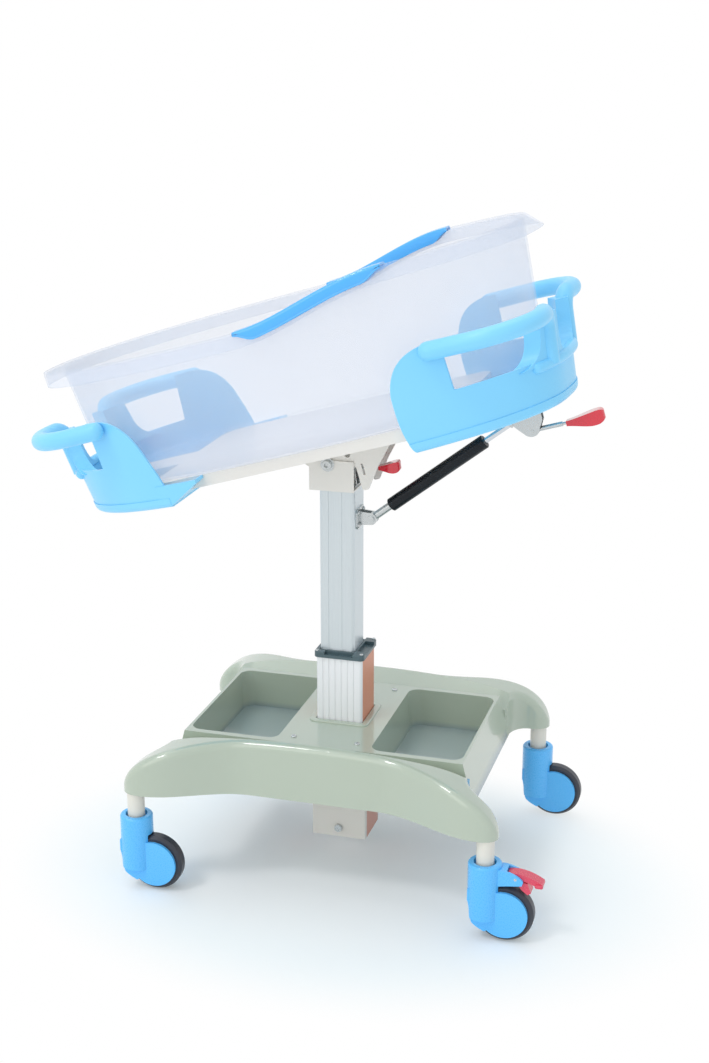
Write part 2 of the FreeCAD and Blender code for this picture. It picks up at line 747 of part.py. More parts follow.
def buildColumnInside():
    glide = newBody("column_glides")
    ring = newSketch(glide, "XY_Plane", "glideRing", "upperBottom + 2")
    half = "lowerHalf - lowerWall - slideGap"
    rectangle(ring, "-(%s)" % half, "-(%s)" % half, half, half)
    pad(glide, ring, "34")
    hole = newSketch(glide, "XY_Plane", "glideHole", "upperBottom + 37")
    rectangle(hole, "upperX - upperHalfLong", "-upperHalfWide", "upperX + upperHalfLong", "upperHalfWide")
    pocket(glide, hole, "40")
    low = size("footBottom + sheet + 0.2")
    cylinder = cylinderAt(size("liftRadius"), low, size("upperBottom + 30"))
    bore = cylinderAt(size("liftRodRadius + 0.3"), low + 12, size("upperBottom + 31"))
    keepShape("height_lift_cylinder", cylinder.cut(bore))
    rod = cylinderAt(size("liftRodRadius"), size("footBottom + sheet + liftTravel + 20"), size("upperTop - 12"))
    keepShape("height_lift_rod", rod)
    plug = newBody("column_head_plug")
    block = newSketch(plug, "XY_Plane", "plugBlock", "upperTop - 12")
    x = "upperHalfLong - upperWall - 0.1"
    y = "upperHalfWide - upperWall - 0.1"
    rectangle(block, "upperX - (%s)" % x, "-(%s)" % y, "upperX + " + x, y)
    pad(plug, block, "12")


def buildFootBracket():
    body = newBody("column_foot_bracket")
    outer = newSketch(body, "XY_Plane", "footOuter", "footBottom")
    deep = "lowerHalf + sheet + 0.3"
    rectangle(outer, "-footHalf", "-(%s)" % deep, "footHalf", deep)
    pad(body, outer, "legTubeHeight - 15.2 - footBottom")
    bore = newSketch(body, "XY_Plane", "footBore", "legTubeHeight")
    rectangle(bore, "-footHalf + sheet", "-lowerHalf - 0.3", "footHalf - sheet", "lowerHalf + 0.3")
    pocket(body, bore, "legTubeHeight - footBottom - sheet")
    dress(body, "Fillet", "2.5", lambda edge: isAlong(edge, V(0, 0, 1)) and abs(edge.BoundBox.XMin) > 49)
    face = size("lowerHalf + sheet + 0.4")
    heads = [hexPrism(13, face, face + 6, V(0, 0, size("footBottom + 18")), V(0, 1, 0)),
             hexPrism(13, -face - 6, -face, V(0, 0, size("footBottom + 18")), V(0, 1, 0))]
    keepShape("foot_bracket_bolts", Part.makeCompound(heads))


def buildHeadBracket():
    """Channel on top of the column that carries the tilt pivot."""
    body = newBody("column_head_bracket")
    deep = "cheekHalf + sheet * 2 + fitGap * 2"
    section = newSketch(body, "YZ_Plane", "headChannel", "headLeft")
    inner = "cheekHalf + sheet + fitGap * 2"
    floor = "upperTop + sheet"
    polygon(section, [("-(%s)" % deep, "upperTop"), (deep, "upperTop"), (deep, "headTop"), (inner, "headTop"),
                      (inner, floor), ("-(%s)" % inner, floor), ("-(%s)" % inner, "headTop"),
                      ("-(%s)" % deep, "headTop")])
    pad(body, section, "headRight - headLeft")
    hole = newSketch(body, "XZ_Plane", "headPivotHole")
    circle(hole, "pivotX", "pivotZ", "pivotBolt + 0.05")
    pocket(body, hole, "120", Midplane=True)


# ---------------------------------------------------------------- tilting bed

def buildPlatform():
    """Folded sheet platform with a narrow tongue towards each end."""
    body = newBody("bed_platform", TILTED)
    plan = newSketch(body, "XY_Plane", "platformPlan", "platformTop - platformDeep")
    a = "platformHalfLong"
    b = "platformHalfWide"
    c = "tongueHalfWide"
    e = "tongueEnd"
    polygon(plan, [("-" + e, "-" + c), ("-" + a, "-" + c), ("-" + a, "-" + b), (a, "-" + b), (a, "-" + c),
                   (e, "-" + c), (e, c), (a, c), (a, b), ("-" + a, b), ("-" + a, c), ("-" + e, c)])
    pad(body, plan, "platformDeep")
    corner = size("platformHalfWide - 1")
    dress(body, "Fillet", "34", lambda edge: isAlong(edge, V(0, 0, 1)) and abs(edge.BoundBox.YMin) > corner)
    under = newSketch(body, "XY_Plane", "platformUnder", "platformTop - platformDeep - 1")
    t = "sheet"
    polygon(under, [("-%s + %s" % (e, t), "-%s + %s" % (c, t)), ("-%s + %s" % (a, t), "-%s + %s" % (c, t)),
                    ("-%s + %s" % (a, t), "-%s + 10" % b), ("-%s + 10" % a, "-%s + %s" % (b, t)),
                    ("%s - 10" % a, "-%s + %s" % (b, t)), ("%s - %s" % (a, t), "-%s + 10" % b),
                    ("%s - %s" % (a, t), "-%s + %s" % (c, t)), ("%s - %s" % (e, t), "-%s + %s" % (c, t)),
                    ("%s - %s" % (e, t), "%s - %s" % (c, t)), ("%s - %s" % (a, t), "%s - %s" % (c, t)),
                    ("%s - %s" % (a, t), "%s - 10" % b), ("%s - 10" % a, "%s - %s" % (b, t)),
                    ("-%s + 10" % a, "%s - %s" % (b, t)), ("-%s + %s" % (a, t), "%s - 10" % b),
                    ("-%s + %s" % (a, t), "%s - %s" % (c, t)), ("-%s + %s" % (e, t), "%s - %s" % (c, t))])
    pocket(body, under, "platformDeep + 1 - sheet", Reversed=True)


def buildSaddle():
    """Two cheeks under the platform that turn on the pivot bolt."""
    body = newBody("tilt_saddle", TILTED)
    side = newSketch(body, "XZ_Plane", "saddleSide")
    top = "platformTop - sheet - 0.1"
    polygon(side, [("-62", top), ("-62", "30"), ("-18", "-14"), ("18", "-14"), ("47", "-14"), ("47", "-58"),
                   ("58", "-58"), ("84", "-24"), ("142", "37"), ("142", top)])
    pad(body, side, "cheekHalf * 2 + sheet * 2", Midplane=True)
    between = newSketch(body, "XZ_Plane", "saddleBetween")
    roof = "platformTop - sheet * 2 - 0.1"
    rectangle(between, "-70", "-80", "150", roof)
    pocket(body, between, "cheekHalf * 2", Midplane=True)
    dress(body, "Fillet", "4", lambda edge: isAlong(edge, V(0, 1, 0)) and edge.BoundBox.ZMax < -1)
    holes = newSketch(body, "XZ_Plane", "saddleHoles")
    circle(holes, "0", "0", "pivotBolt + 0.05")
    circle(holes, "38", "8", "5")
    rectangle(holes, "56", "-32", "60", "-12")
    pocket(body, holes, "200", Midplane=True)


def buildPivotBolt():
    reach = size("cheekHalf + sheet * 2 + fitGap * 2")
    shank = pinAlongY(size("pivotBolt"), -reach - 3, reach + 11, 0, 0)
    head = pinAlongY(8.5, -reach - 7.5, -reach - 0.2, 0, 0)
    head = head.makeFillet(1.5, [edge for edge in head.Edges if edge.BoundBox.YMax < -reach - 7])
    head = head.cut(hexPrism(8, reach + 3.5, reach + 8, V(0, 0, 0), V(0, -1, 0)))
    nut = hexPrism(17, reach + 0.2, reach + 9, V(0, 0, 0), V(0, 1, 0))
    washer = pinAlongY(12, -reach - 1.6, -reach - 0.1, 0, 0)
    keepShape("pivot_bolt", shank.multiFuse([head, nut, washer]), ("pivotX", "pivotZ", "0"))


def bumperOval(inset, low, high):
    """Drafted oval form of the bumper walls."""
    draft = size("bumperDraft")
    start = draft * (low - size("bumperBottom")) - inset
    return ovalPrism(size("bumperHalfLong") + start, size("bumperHalfWide") + start, 2.4, low, high, draft)


def bumperRamp():
    """Sloping end of the bumper's floor, whose sides cover the edge of the platform."""
    low = size("bumperBottom")
    wall = size("bumperWall")
    start = size("panelStart")
    roof = size("platformTop - 0.4")
    wedge = slabXZ([(start + 16, low), (start - 50, roof - 5), (start - 50, roof), (start + 30, roof),
                    (start + 30, low), (start + 16, low)], -300, 300)
    room = slabXZ([(start + 17, low + wall), (start - 48, roof + 0.5), (start - 48, roof + 12),
                   (start + 31, roof + 12), (start + 31, low + wall), (start + 17, low + wall)], -300, 300)
    form = bumperOval(-1, low, roof + 5)
    form = form.makeFillet(10.5, [edge for edge in form.Edges if edge.BoundBox.ZMax < low + 1])
    wedge = wedge.common(form).cut(room.common(bumperOval(wall + 0.6, low, roof + 20)))
    edge = size("platformHalfWide + fitGap")
    return wedge.cut(boxBetween((0, -edge, size("platformTop - platformDeep - fitGap")), (400, edge, roof + 20)))


def bumperPost():
    """Post on the -Y side that carries the grip's inner end and flares into the band."""
    band = size("bandTop")
    top = size("gripHeight - 4")
    post = size("gripPost")
    outline = [(-post - 62, band - 8), [(-post - 42, band - 5), (-post - 28, band + 8), (-post - 26, band + 30)],
               (-post - 24, top), (-post + 24, top), (-post + 26, band + 30),
               [(-post + 28, band + 8), (-post + 40, band - 5), (-post + 60, band - 8)], (-post - 62, band - 8)]
    blade = slabXZ(outline, -520, -300)
    blade.rotate(V(0, 0, 0), V(0, 0, 1), 90)
    ring = bumperOval(-3, band - 9, top + 1).cut(bumperOval(19, band - 10, top + 2))
    return ring.common(blade)


def buildBumper(lean):
    """Wrap-around end bumper on the +X side with a grip at each corner.

    With a lean of 1 its side panels slant back towards the end and a ramp meets the platform.
    """
    low = size("bumperBottom")
    high = size("panelTop")
    wall = size("bumperWall")
    start = size("panelStart")
    gate = size("windowStart") + 36 * lean
    band = size("bandTop")
    far = size("bumperHalfLong + 60")
    foot = bumperOval(-1.6, low, low + 17)
    foot = foot.makeFillet(11, [edge for edge in foot.Edges if edge.BoundBox.ZMax < low + 1])
    shell = bumperOval(0, low + 12, high).fuse(foot).cut(bumperOval(wall, low + wall, high + 1))
    keep = slabXZ([(start + 12, low - 1),
                   [(start - 2 + 6 * lean, low + 26), (start - 2 + 20 * lean, low + 60), (start + 30 * lean, low + 97)],
                   [(start + 8 + 36 * lean, high - 24), (start + 34 + 36 * lean, high), (start + 84 + 24 * lean, high)],
                   (gate, high), (gate, band + 6), [(gate, band), (gate, band), (gate + 6, band)], (far, band),
                   (far, low - 1), (start + 12, low - 1)], -300, 300)
    parts = [shell.common(keep)]
    if lean:
        parts.append(bumperRamp())
    reach = size("gripReach")
    side = size("gripSide")
    post = size("gripPost")
    height = size("gripHeight")
    root = V(start + 74 + 28 * lean, -side + 9, height)
    path = roundedPath([root, V(reach + 9, -side - 4, height), V(reach - 12, -post, height),
                        V(reach - 22, -post, band - 10)], [92, 26])
    grip = rodAlong(path, size("gripRadius")).fuse(Part.makeSphere(size("gripRadius"), root))
    grip = grip.cut(bumperOval(wall - 0.5, low - 5, high + 30).common(boxBetween((0, -300, 0), (start + 140, 0, 300))))
    for piece in (grip, bumperPost()):
        parts += bothSides(piece, V(0, 1, 0))
    draft = size("bumperDraft") * (band - 9 - low)
    turns = [math.radians(step) for step in range(-24, 25, 6)]
    places = [ovalPoint(size("bumperHalfLong") + draft, size("bumperHalfWide") + draft, 2.4, turn) for turn in turns]
    curve = Part.BSplineCurve()
    curve.interpolate([V(x, y, band - 9) for x, y in places])
    parts.append(rodAlong(Part.Wire([curve.toShape()]), 9.5))
    parts += [Part.makeSphere(9.5, V(x, y, band - 9)) for x, y in (places[0], places[-1])]
    seats = [cylinderAt(10, low + 2, size("platformTop - sheet - 0.3"), x, y)
             for x, y in bumperScrewSpots()]
    bumper = parts[0].multiFuse(parts[1:] + seats)
    for x, y in bumperScrewSpots():
        bumper = bumper.cut(cylinderAt(5, low - 1, low + 8, x, y)).cut(cylinderAt(2.6, low, low + 45, x, y))
    return bumper


def bumperScrewSpots():
    x = size("panelStart + 22")
    end = size("tongueEnd - 14")
    return [(x, -120.0), (x, 120.0), (end, -24.0), (end, 24.0)]


def buildBumpers():
    slot = boxBetween((size("springHighU") - 30, -14, size("bumperBottom") - 8),
                      (size("springHighU") + 32, 14, size("platformTop - platformDeep")))
    keepShape("head_bumper", buildBumper(0).cut(slot), TILTED)
    keepShape("foot_bumper", mirrored(buildBumper(1), V(1, 0, 0)), TILTED)
    head = panScrew(2.5, 22, 4.6, 3)
    head.rotate(V(0, 0, 0), V(1, 0, 0), 180)
    spots = [FreeCAD.Placement(V(side * x, y, size("bumperBottom + 7.9")), UP)
             for x, y in bumperScrewSpots() for side in (-1, 1)]
    keepShape("bumper_screws", atEach(head, spots), TILTED)


# ---------------------------------------------------------------- tub

def rimSteps(drop):
    """XZ outline of everything below the rim line, lowered by a drop. The rim climbs from foot to head."""
    base = size("tubBottom")
    foot = base + size("footRim") - drop
    head = base + size("headRim") - drop
    first = size("stepStart")
    last = size("stepEnd")
    bend = (last - first) * 0.34
    far = size("rimHalfLong + 40")
    return [(-far, base - 20), (-far, foot), (first - 40, foot),
            [(first - 12, foot), (first, foot + 1), (first + 22, foot + 4)],
            [(first + bend, foot + 12), (last - bend, head - 6), (last - 16, head - 1.5)],
            [(last, head), (last + 10, head), (last + 30, head)],
            (far, head), (far, base - 20), (-far, base - 20)]


def tubForm(inset, low, high):
    """Drafted oval of the tub wall between two heights."""
    draft = size("tubDraft")
    start = draft * (low - size("tubBottom")) - inset
    return ovalPrism(size("tubHalfLong") + start, size("tubHalfWide") + start, 2.4, low, high, draft)


def rimForm(inset):
    base = size("tubBottom")
    return ovalPrism(size("rimHalfLong") - inset, size("rimHalfWide") - inset, 2.2, base + 120,
                     base + size("headRim") + 20)


def belowRim(drop):
    return slabXZ(rimSteps(drop), -320, 320)


def beyondFlare(inset):
    """Room outside the sloping lip at the head end."""
    top = size("tubBottom + headRim")
    slope = ovalPrism(size("rimHalfLong - 10") - inset * 1.4, 330, 2.2, top - 26, top + 6, -0.96)
    return boxBetween((330, -300, top - 26), (520, 300, top + 6)).cut(slope)


def buildTub():
    """Moulded tub: drafted wall, rounded bottom, stepped flange with a turned-down lip."""
    wall = size("tubWall")
    base = size("tubBottom")
    top = base + size("headRim") + 10
    body = tubForm(0, base, top)
    body = body.makeFillet(16, [edge for edge in body.Edges if edge.BoundBox.ZMax < base + 1])
    room = tubForm(wall, base + wall, top + 1)
    room = room.makeFillet(13, [edge for edge in room.Edges if edge.BoundBox.ZMax < base + wall + 1])
    outside = rimForm(0).common(belowRim(0)).cut(beyondFlare(0))
    inside = rimForm(wall).common(belowRim(wall)).cut(beyondFlare(wall))
    rim = outside.cut(inside).cut(belowRim(size("lipDeep")))
    return body.common(belowRim(0)).fuse(rim).cut(room)


def buildTrim():
    """Edge guard clipped over the sloping stretch of the rim, on the -Y side."""
    gap = 0.2
    thick = 3.0
    start = size("stepStart") - 22
    stop = size("stepEnd") + 18
    base = size("tubBottom")
    foot = base + size("footRim")
    head = base + size("headRim")
    over = belowRim(-gap - thick)
    cap = rimForm(-gap - thick).common(over).cut(belowRim(-gap))
    skirt = rimForm(-gap - thick).cut(rimForm(-gap)).common(over).cut(belowRim(24))
    lined = size("tubWall") + gap
    room = tubForm(lined + thick, base + 60, head + 20)
    lining = tubForm(lined, base + 60, head + 20).cut(room).common(over).cut(belowRim(26))
    groove = rimForm(-gap - thick - 1).cut(rimForm(-gap - thick + 0.8)).common(belowRim(11)).cut(belowRim(13.5))
    ends = slabXZ([(start, foot + 6), [(start + 4, foot - 8), (start + 16, foot - 20), (start + 36, foot - 28)],
                   (stop - 78, head - 42), [(stop - 50, head - 34), (stop - 26, head - 14), (stop, head + 6)],
                   (start, foot + 60), (start, foot + 6)], -320, 0)
    return cap.multiFuse([skirt, lining]).common(ends).cut(room).cut(groove)


def buildTubParts():
    keepShape("tub", buildTub(), TILTED)
    trim = buildTrim()
    keepShape("tub_trim_right", trim, TILTED)
    keepShape("tub_trim_left", mirrored(trim, V(0, 1, 0)), TILTED)


# ---------------------------------------------------------------- tilt gas spring

def springFrame():
    """Frame at the lower spring pin, +X along the spring, from the two pin places."""
    tilt = math.radians(size("tiltAngle"))
    u = size("springHighU")
    v = size("springHighV")
    dx = size("pivotX") + u * math.cos(tilt) - v * math.sin(tilt) - size("springLowX")
    dz = size("pivotZ") + u * math.sin(tilt) + v * math.cos(tilt) - size("springLowZ")
    return math.hypot(dx, dz), math.degrees(math.atan2(dz, dx))


def buildSpring():
    length, slope = springFrame()
    frame = ("springLowX", "springLowZ", "%.6f" % -slope)
    tube = newBody("tilt_spring_cylinder", frame)
    section = newSketch(tube, "XY_Plane", "springTubeSection")
    end = "%.4f" % (length - 87)
    rod = "springRod + 0.3"
    polygon(section, [("42", "0"), (end, "0"), (end, "springRadius - 1.5"), ("%s - 1.5" % end, "springRadius"),
                      ("43.5", "springRadius"), ("42", "springRadius - 1.5")])
    revolve(tube, section, "H_Axis")
    bore = newSketch(tube, "YZ_Plane", "springBore", "60")
    circle(bore, "0", "0", rod)
    pocket(tube, bore, "%s - 59" % end, Reversed=True)
    wide = size("eyeHalf")
    eye = pinAlongY(9, -wide, wide, 0, 0).fuse(Part.makeCylinder(7, 34.8, V(7, 0, 0), V(1, 0, 0)))
    eye = eye.cut(pinAlongY(size("springPin") + 0.05, -wide - 1, wide + 1, 0, 0))
    keepShape("spring_lower_eye", eye, frame)
    shaft = Part.makeCylinder(size("springRod"), length - 30 - 100, V(100, 0, 0), V(1, 0, 0))
    keepShape("tilt_spring_rod", shaft, frame)
    head = Part.makeCylinder(6.5, 22, V(length - 30, 0, 0), V(1, 0, 0))
    head = head.fuse(pinAlongY(8.2, -wide, wide, length, 0))
    head = head.cut(pinAlongY(size("springPin") + 1.2, -wide - 1, wide + 1, length, 0))
    nut = hexPrism(13, length - 36, length - 30.1, V(0, 0, 0), V(1, 0, 0))
    keepShape("spring_upper_eye", head, frame)
    keepShape("spring_lock_nut", nut.cut(shaft), frame)


def buildSpringMounts():
    """Clevis on the column and hanging bracket under the platform tongue."""
    x = size("springLowX")
    z = size("springLowZ")
    face = size("upperX + upperHalfLong")
    inner = size("eyeHalf + fitGap")
    reach = inner + 4
    plate = boxBetween((face, -22, z - 18), (face + 3, 22, z + 18))
    plate = plate.makeChamfer(6, [edge for edge in plate.Edges if isAlong(edge, V(1, 0, 0))])
    parts = []
    for side in (-1, 1):
        low, high = sorted((side * inner, side * (inner + 3)))
        ear = slabXZ([(face, z - 12), (face, z + 12), (x, z + 10), [(x + 13, z + 10), (x + 13, z - 10), (x, z - 10)],
                      (face, z - 12)], low, high)
        parts.append(ear)
    clevis = plate.multiFuse(parts).cut(pinAlongY(size("springPin"), -20, 20, x, z))
    corners = [(y, z + lift) for y in (-15, 15) for lift in (-11, 11)]
    for y, height in corners:
        clevis = clevis.cut(Part.makeCylinder(2.05, 9, V(face - 2, y, height), V(1, 0, 0)))
    keepShape("spring_lower_clevis", clevis)
    pin = pinAlongY(size("springPin"), -reach, reach, x, z).fuse(pinAlongY(6, -reach - 2, -reach + 0.9, x, z))
    keepShape("spring_lower_pin", pin)
    screw = panScrew(2, 6, 4.2, 2.4)
    screw.rotate(V(0, 0, 0), V(0, 1, 0), 90)
    spots = [FreeCAD.Placement(V(face + 3.1, y, height), UP) for y, height in corners]
    keepShape("clevis_screws", atEach(screw, spots))
    u = size("springHighU")
    v = size("springHighV")
    under = size("platformTop - platformDeep")
    plate = boxBetween((u - 26, -34, under - 3.3), (u + 16, 34, under - 0.2))
    parts = []
    for side in (-1, 1):
        low, high = sorted((side * inner, side * (inner + 3)))
        parts.append(slabXZ([(u - 26, under - 3), (u + 26, under - 3), (u + 24, v - 16), (u + 14, v - 34),
                             [(u + 10, v - 42), (u - 4, v - 42), (u - 10, v - 34)], (u - 24, v - 18),
                             (u - 26, under - 3)], low, high))
    hanger = plate.multiFuse(parts)
    hanger = hanger.cut(pinAlongY(size("springPin"), -20, 20, u, v))
    hanger = hanger.cut(pinAlongY(2.5, -20, 20, size("leverPivotU"), size("leverPivotV")))
    keepShape("spring_head_bracket", hanger, TILTED)
    pin = pinAlongY(size("springPin"), -reach, reach, u, v).fuse(pinAlongY(6, -reach - 2, -reach + 0.9, u, v))
    leverPin = pinAlongY(2.5, -reach, reach, size("leverPivotU"), size("leverPivotV"))
    keepShape("head_bracket_pins", Part.makeCompound([pin, leverPin]), TILTED)


def gripForm(length, thick, wide):
    """Tear-shaped grip along +X that starts at the origin."""
    side = slabXZ([(0, -thick * 0.22), [(length * 0.35, -thick * 0.36), (length * 0.6, -thick * 0.72),
                                        (length * 0.85, -thick * 0.6)],
                   [(length, -thick * 0.5), (length * 1.05, -thick * 0.1), (length * 1.03, thick * 0.15)],
                   [(length * 1.02, thick * 0.5), (length * 0.96, thick * 0.66), (length * 0.84, thick * 0.62)],
                   [(length * 0.55, thick * 0.55), (length * 0.3, thick * 0.28), (0, thick * 0.22)],
                   (0, -thick * 0.22)], -wide, wide)
    plan = slabXY([(-1, -wide * 0.3), [(length * 0.3, -wide * 0.4), (length * 0.6, -wide * 0.7),
                                       (length * 0.8, -wide * 0.5)],
                   [(length * 1.08, -wide * 0.4), (length * 1.08, wide * 0.4), (length * 0.8, wide * 0.5)],
                   [(length * 0.6, wide * 0.7), (length * 0.3, wide * 0.4), (-1, wide * 0.3)],
                   (-1, -wide * 0.3)], -thick, thick)
    return side.common(plan)


def buildLevers():
    """Release lever of the tilt spring and release lever of the height lift."""
    u = size("leverPivotU")
    v = size("leverPivotV")
    radius = size("leverRod")
    wide = size("eyeHalf")
    hub = pinAlongY(5, -wide, wide, u, v)
    bar = Part.makeCylinder(radius, 46, V(u + 4, 0, v), V(1, 0, 0))
    neck = Part.makeCylinder(radius * 0.6, 16, V(u + 49, 0, v), V(1, 0, 0))
    lever = hub.multiFuse([bar, neck]).cut(pinAlongY(2.58, -10, 10, u, v))
    keepShape("tilt_release_lever", lever, TILTED)
    grip = gripForm(64, 19, 26)
    grip.translate(V(u + 57, 0, v))
    grip = grip.cut(Part.makeCylinder(radius * 0.6, 10, V(u + 56, 0, v), V(1, 0, 0)))
    keepShape("tilt_lever_grip", grip, TILTED)
    frame = ("heightLeverX", "heightLeverZ", "-8")
    arm = pinAlongY(6, -7, 7, 0, 0)
    bar = boxBetween((0, -7, -2), (58, 7, 2))
    press = boxBetween((-16, -6, -4), (0, 6, 3))
    arm = arm.multiFuse([bar, press]).cut(pinAlongY(2.58, -10, 10, 0, 0))
    keepShape("height_release_lever", arm, frame)
    grip = gripForm(38, 15, 24)
    grip.translate(V(49, 0, 0))
    grip = grip.cut(boxBetween((40, -7, -2), (58, 7, 2)))
    keepShape("height_lever_grip", grip, frame)
    reach = size("cheekHalf - fitGap")
    pin = pinAlongY(2.5, -14, 14, 0, 0)
    keepShape("height_lever_pin", pin, frame)
    ears = []
    floor = size("upperTop + sheet + 0.1")
    x = size("heightLeverX")
    z = size("heightLeverZ")
    for side in (-1, 1):
        low, high = sorted((side * 8, side * 11))
        ears.append(slabXZ([(x - 12, floor), (x + 12, floor), (x + 7, z + 3), [(x + 4, z + 8), (x - 4, z + 8),
                            (x - 7, z + 3)], (x - 12, floor)], low, high))
    base = boxBetween((x - 12, -reach + 12, floor), (x + 12, reach - 12, floor + 3))
    stand = base.multiFuse(ears).cut(pinAlongY(2.5, -20, 20, x, z))
    keepShape("height_lever_stand", stand)


# ---------------------------------------------------------------- assembly

keepShape("base_frame", buildBaseFrame())
keepShape("base_cover", buildBaseCover())
keepShape("deck_screws", atEach(panScrew(2.5, 18, 5, 2.5),
                                [FreeCAD.Placement(V(x, y, size("deckTop + 0.1")), UP) for x, y in screwSpots()]))
buildCasters()
buildWheels()
buildLowerColumn()
buildUpperColumn()
buildCollar()
buildColumnInside()
buildFootBracket()
buildHeadBracket()
buildPlatform()
buildSaddle()
buildPivotBolt()
buildBumpers()
buildTubParts()
buildSpring()
buildSpringMounts()
buildLevers()

doc.recompute()
for item in doc.Objects:
    if "Invalid" in item.State or "Error" in item.State:
        raise RuntimeError("failed object " + item.Name)
os.makedirs("parts", exist_ok=True)
for item in subparts:
    if item.Shape.isNull() or not item.Shape.isValid():
        raise RuntimeError("bad shape " + item.Label)
    item.Shape.exportStep("parts/%s.step" % item.Label)
print("%d sub-parts" % len(subparts))
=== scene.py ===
import math

import bmesh
import bpy
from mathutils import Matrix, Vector


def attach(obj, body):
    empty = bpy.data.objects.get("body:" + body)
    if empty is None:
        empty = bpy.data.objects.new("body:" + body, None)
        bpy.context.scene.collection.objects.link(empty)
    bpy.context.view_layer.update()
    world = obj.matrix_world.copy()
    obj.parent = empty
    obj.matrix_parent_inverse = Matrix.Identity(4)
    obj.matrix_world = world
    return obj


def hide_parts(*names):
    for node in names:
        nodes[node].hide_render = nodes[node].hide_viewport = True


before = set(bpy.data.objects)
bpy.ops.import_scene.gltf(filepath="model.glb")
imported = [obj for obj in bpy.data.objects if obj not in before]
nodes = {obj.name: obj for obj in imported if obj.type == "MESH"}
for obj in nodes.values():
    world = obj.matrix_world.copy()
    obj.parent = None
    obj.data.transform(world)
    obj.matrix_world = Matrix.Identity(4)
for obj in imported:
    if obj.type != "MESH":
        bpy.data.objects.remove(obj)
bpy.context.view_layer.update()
print("frame loaded", len(nodes), "nodes")

noiseLow, noiseHigh = 0.3, 0.7   # nearly all of a noise texture lies between these
white = (1.0, 1.0, 1.0, 1.0)


def linearFromHex(code):
    channels = [int(code[k:k + 2], 16) / 255 for k in (1, 3, 5)]
    return tuple(c / 12.92 if c <= 0.04045 else ((c + 0.055) / 1.055) ** 2.4 for c in channels) + (1.0,)


def addNode(tree, kind, settings=None, links=None):
    node = tree.nodes.new(kind)
    for key, value in (settings or {}).items():
        if isinstance(key, int) or key in node.inputs:
            node.inputs[key].default_value = value
        else:
            setattr(node, key, value)
    for key, socket in (links or {}).items():
        tree.links.new(socket, node.inputs[key])
    return node


def startMaterial(name):
    material = bpy.data.materials.new(name)
    material.use_nodes = True
    tree = material.node_tree
    tree.nodes.clear()
    place = addNode(tree, "ShaderNodeTexCoord").outputs["Object"]
    return material, tree, place


def closeMaterial(tree, shader):
    output = addNode(tree, "ShaderNodeOutputMaterial", links={"Surface": shader.outputs[0]})
    output.is_active_output = True


# where the trays' floors lie in the base cover, in metres from the column and from the ground
trays = {"floorTop": 0.194, "wallStart": 0.208, "innerEdge": 0.085, "innerFull": 0.095,
         "sideEdge": 0.145, "sideFull": 0.135}


def paintedTrayShade(tree, place, colour, trayShadeTone):
    # painted shade: the tray floors are darkened to a cooler grey, as they look lying in shade; the wall above
    # them keeps the cover's own tone
    spot = addNode(tree, "ShaderNodeSeparateXYZ", links={"Vector": place})
    along = addNode(tree, "ShaderNodeMath", {"operation": "ABSOLUTE"}, {0: spot.outputs["X"]})
    across = addNode(tree, "ShaderNodeMath", {"operation": "ABSOLUTE"}, {0: spot.outputs["Y"]})
    low = addNode(tree, "ShaderNodeMapRange",
                  {"From Min": trays["wallStart"], "From Max": trays["floorTop"]}, {"Value": spot.outputs["Z"]})
    past = addNode(tree, "ShaderNodeMapRange",
                   {"From Min": trays["innerEdge"], "From Max": trays["innerFull"]}, {"Value": along.outputs[0]})
    before = addNode(tree, "ShaderNodeMapRange",
                     {"From Min": trays["sideEdge"], "From Max": trays["sideFull"]}, {"Value": across.outputs[0]})
    both = addNode(tree, "ShaderNodeMath", {"operation": "MULTIPLY"}, {0: past.outputs[0], 1: before.outputs[0]})
    share = addNode(tree, "ShaderNodeMath", {"operation": "MULTIPLY"}, {0: both.outputs[0], 1: low.outputs[0]})
    mixed = addNode(tree, "ShaderNodeMix", {"data_type": "RGBA", 7: linearFromHex(trayShadeTone)},
                    {0: share.outputs[0], 6: colour})
    return mixed.outputs[2]


# what a moulded or coated part has unless its own line says otherwise; grain and wave sizes are millimetres
mouldDefaults = {"driftScale": 6.0, "waveMm": 45.0, "waveDepthMm": 0.6, "waveStrength": 0.3, "depthMm": 0.04,
                 "grainStrength": 0.5, "smoother": 0.04, "rougher": 0.05, "coat": 0.0, "coatRoughness": 0.05,
                 "ior": 1.49, "specular": 0.5}


